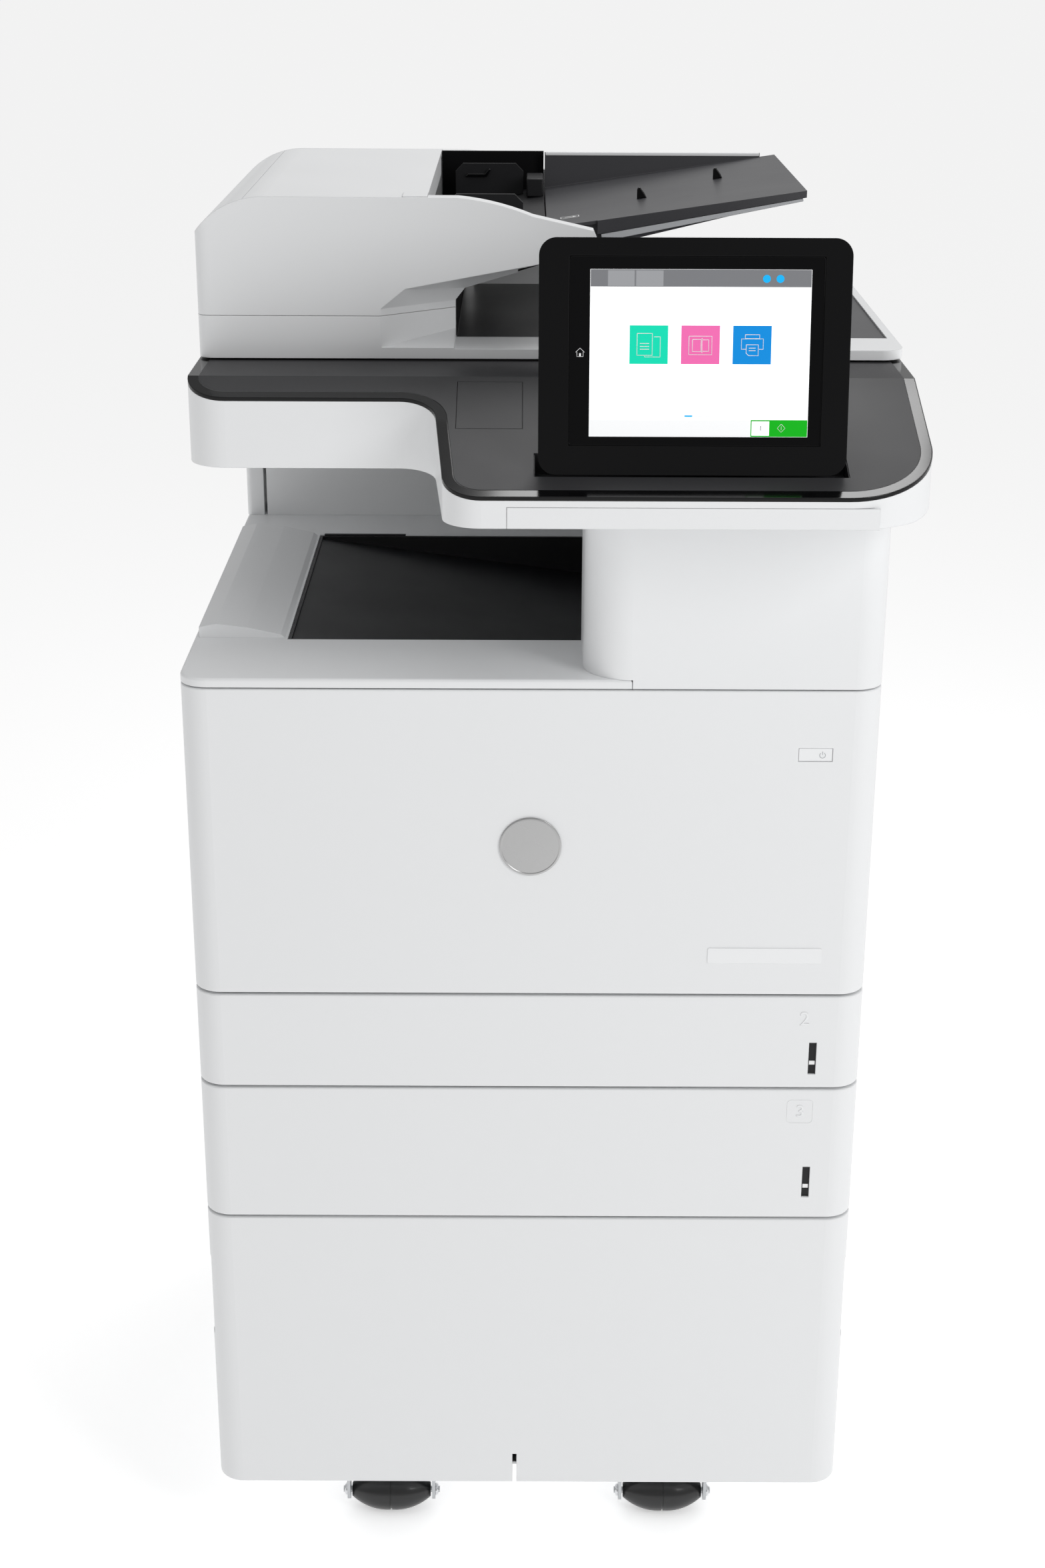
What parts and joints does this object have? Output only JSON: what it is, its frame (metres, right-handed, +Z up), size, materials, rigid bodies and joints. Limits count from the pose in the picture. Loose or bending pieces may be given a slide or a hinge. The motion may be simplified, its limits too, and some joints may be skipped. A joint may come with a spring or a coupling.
{
  "type": "photocopier",
  "caption": "Floor-standing A3 copier on swivel casters with paper drawers, hinged doors, output bin, flatbed scanner under a document feeder lid, and a tilting touch panel.",
  "frame": {"origin": "on the floor under the centre of the body's footprint", "axes": "+X to the user's right, +Y to the machine's back, +Z up"},
  "size_m": [0.589, 0.653, 1.2065],
  "materials": {
    "white_cover": "fine satin texture",
    "grey_cover": "fine satin texture",
    "dark_plastic": "satin",
    "tray_grey": "fine texture",
    "black_gloss": "polished",
    "console_grey": "satin",
    "sheet_steel": "zinc plated",
    "caster_black": "semi-gloss",
    "badge_silver": "polished gradient",
    "button_white": "satin",
    "screen": "lit display",
    "bezel_glass": "glossy",
    "clear_glass": "clear",
    "pad_white": "foam with white film",
    "inner_dark": "moulded",
    "roller_rubber": "matt"
  },
  "bodies": {
    "frame": {"bin_floor": "dark_plastic", "caster_plates": "sheet_steel", "column_cover": "white_cover", "console_covers": "dark_plastic", "console_rim": "black_gloss", "console_top": "console_grey", "drawer_unit_shell": "white_cover", "engine_frame": "sheet_steel", "feed_units": "roller_rubber", "fuser": "inner_dark", "laser_unit": "inner_dark", "left_cover": "white_cover", "lid_hinges": "sheet_steel", "mains_inlet": "dark_plastic", "panel_cradle": "dark_plastic", "platen_glass": "clear_glass", "rear_cover": "grey_cover", "rear_housing": "white_cover", "right_cover": "white_cover", "scanner_base": "white_cover", "stand_shell": "white_cover", "toner_cartridges": "inner_dark", "top_deck": "white_cover", "transfer_belt": "inner_dark"},
    "stand_door": {"stand_door": "white_cover"},
    "front_door": {"front_door": "white_cover", "door_badge": "badge_silver"},
    "power_button": {"power_button": "button_white"},
    "upper_drawer": {"upper_drawer_front": "white_cover", "upper_drawer_pan": "inner_dark"},
    "lower_drawer": {"lower_drawer_front": "white_cover", "lower_drawer_pan": "inner_dark"},
    "upper_lift": {"upper_lift_plate": "sheet_steel"},
    "lower_lift": {"lower_lift_plate": "sheet_steel"},
    "exit_roller": {"exit_roller": "roller_rubber"},
    "scan_carriage": {"scan_carriage": "inner_dark"},
    "lid": {"lid": "white_cover", "lid_pad": "pad_white", "output_tray": "tray_grey", "feeder_body": "white_cover", "throat_plate": "dark_plastic"},
    "feeder_cover": {"feeder_cover": "white_cover"},
    "feeder_latch": {"feeder_latch": "white_cover"},
    "input_tray": {"input_tray": "tray_grey"},
    "front_document_guide": {"front_document_guide": "dark_plastic"},
    "rear_document_guide": {"rear_document_guide": "dark_plastic"},
    "control_panel": {"panel_frame": "black_gloss", "touch_glass": "bezel_glass", "display": "screen", "panel_back": "dark_plastic"},
    "access_door": {"access_door": "white_cover"},
    "bypass_tray": {"bypass_tray": "white_cover"},
    "caster_front_left": {"caster_fork_front_left": "sheet_steel"},
    "wheel_front_left": {"caster_wheel_front_left": "caster_black"},
    "caster_front_right": {"caster_fork_front_right": "sheet_steel"},
    "wheel_front_right": {"caster_wheel_front_right": "caster_black"},
    "caster_rear_left": {"caster_fork_rear_left": "sheet_steel"},
    "wheel_rear_left": {"caster_wheel_rear_left": "caster_black"},
    "caster_rear_right": {"caster_fork_rear_right": "sheet_steel"},
    "wheel_rear_right": {"caster_wheel_rear_right": "caster_black"}
  },
  "joints": [
    {"name": "stand_door_hinge", "type": "hinge", "parent": "frame", "child": "stand_door", "pos_m": [0.278, -0.265, 0.215], "axis": [0, 0, 1], "range_deg": [0, 90]},
    {"name": "caster_swivel_front_left", "type": "hinge", "parent": "frame", "child": "caster_front_left", "pos_m": [-0.128, -0.222, 0.07], "axis": [0, 0, 1], "continuous": true},
    {"name": "caster_roll_front_left", "type": "hinge", "parent": "caster_front_left", "child": "wheel_front_left", "pos_m": [-0.128, -0.222, 0.019], "axis": [1, 0, 0], "continuous": true},
    {"name": "caster_swivel_front_right", "type": "hinge", "parent": "frame", "child": "caster_front_right", "pos_m": [0.128, -0.222, 0.07], "axis": [0, 0, 1], "continuous": true},
    {"name": "caster_roll_front_right", "type": "hinge", "parent": "caster_front_right", "child": "wheel_front_right", "pos_m": [0.128, -0.222, 0.019], "axis": [1, 0, 0], "continuous": true},
    {"name": "caster_swivel_rear_left", "type": "hinge", "parent": "frame", "child": "caster_rear_left", "pos_m": [-0.128, 0.222, 0.07], "axis": [0, 0, 1], "continuous": true},
    {"name": "caster_roll_rear_left", "type": "hinge", "parent": "caster_rear_left", "child": "wheel_rear_left", "pos_m": [-0.128, 0.222, 0.019], "axis": [1, 0, 0], "continuous": true},
    {"name": "caster_swivel_rear_right", "type": "hinge", "parent": "frame", "child": "caster_rear_right", "pos_m": [0.128, 0.222, 0.07], "axis": [0, 0, 1], "continuous": true},
    {"name": "caster_roll_rear_right", "type": "hinge", "parent": "caster_rear_right", "child": "wheel_rear_right", "pos_m": [0.128, 0.222, 0.019], "axis": [1, 0, 0], "continuous": true},
    {"name": "upper_drawer_slide", "type": "slide", "parent": "frame", "child": "upper_drawer", "axis": [0, -1, 0], "range_m": [0, 0.38]},
    {"name": "lower_drawer_slide", "type": "slide", "parent": "frame", "child": "lower_drawer", "axis": [0, -1, 0], "range_m": [0, 0.38]},
    {"name": "upper_lift_hinge", "type": "hinge", "parent": "upper_drawer", "child": "upper_lift", "pos_m": [-0.12, 0, 0.4908], "axis": [0, -1, 0], "range_deg": [0, 7]},
    {"name": "lower_lift_hinge", "type": "hinge", "parent": "lower_drawer", "child": "lower_lift", "pos_m": [-0.12, 0, 0.3633], "axis": [0, -1, 0], "range_deg": [0, 7]},
    {"name": "front_door_hinge", "type": "hinge", "parent": "frame", "child": "front_door", "pos_m": [0, -0.28, 0.577], "axis": [1, 0, 0], "range_deg": [0, 90]},
    {"name": "power_button_press", "type": "slide", "parent": "front_door", "child": "power_button", "axis": [0, 1, 0], "range_m": [0, 0.0015], "stiffness_N_per_m": 600, "springref_m": -0.0008},
    {"name": "exit_roller_spin", "type": "hinge", "parent": "frame", "child": "exit_roller", "pos_m": [0.113, 0, 0.8643], "axis": [0, 1, 0], "continuous": true},
    {"name": "scan_carriage_slide", "type": "slide", "parent": "frame", "child": "scan_carriage", "axis": [1, 0, 0], "range_m": [0, 0.4]},
    {"name": "lid_hinge", "type": "hinge", "parent": "frame", "child": "lid", "pos_m": [0, 0.233, 1.087], "axis": [-1, 0, 0], "range_deg": [0, 65]},
    {"name": "feeder_cover_hinge", "type": "hinge", "parent": "lid", "child": "feeder_cover", "pos_m": [-0.2336, 0, 1.206], "axis": [0, -1, 0], "range_deg": [0, 75]},
    {"name": "feeder_latch_hinge", "type": "hinge", "parent": "feeder_cover", "child": "feeder_latch", "pos_m": [-0.095, -0.107, 1.206], "axis": [-1, 0, 0], "range_deg": [0, 25], "stiffness_Nm_per_rad": 0.3, "springref_deg": -17.19},
    {"name": "input_tray_hinge", "type": "hinge", "parent": "lid", "child": "input_tray", "pos_m": [0.012, 0, 1.1729], "axis": [0, -1, 0], "range_deg": [0, 45]},
    {"name": "front_guide_slide", "type": "slide", "parent": "lid", "child": "front_document_guide", "axis": [0, 1, 0], "range_m": [0, 0.07]},
    {"name": "rear_guide_slide", "type": "slide", "parent": "lid", "child": "rear_document_guide", "axis": [0, 1, 0], "range_m": [-0.07, 0]},
    {"name": "control_panel_tilt", "type": "hinge", "parent": "frame", "child": "control_panel", "pos_m": [0.119, -0.30059, 1.05073], "axis": [-1, 0, 0], "range_deg": [0, 45]},
    {"name": "access_door_hinge", "type": "hinge", "parent": "frame", "child": "access_door", "pos_m": [0.281, 0.202, 0.706], "axis": [0, 0, 1], "range_deg": [0, 80]},
    {"name": "bypass_tray_hinge", "type": "hinge", "parent": "access_door", "child": "bypass_tray", "pos_m": [0.281, -0.005, 0.6145], "axis": [0, 1, 0], "range_deg": [0, 75]}
  ],
  "couplings": [
    {"joint": "rear_guide_slide", "follows": "front_guide_slide", "ratio": -1}
  ]
}
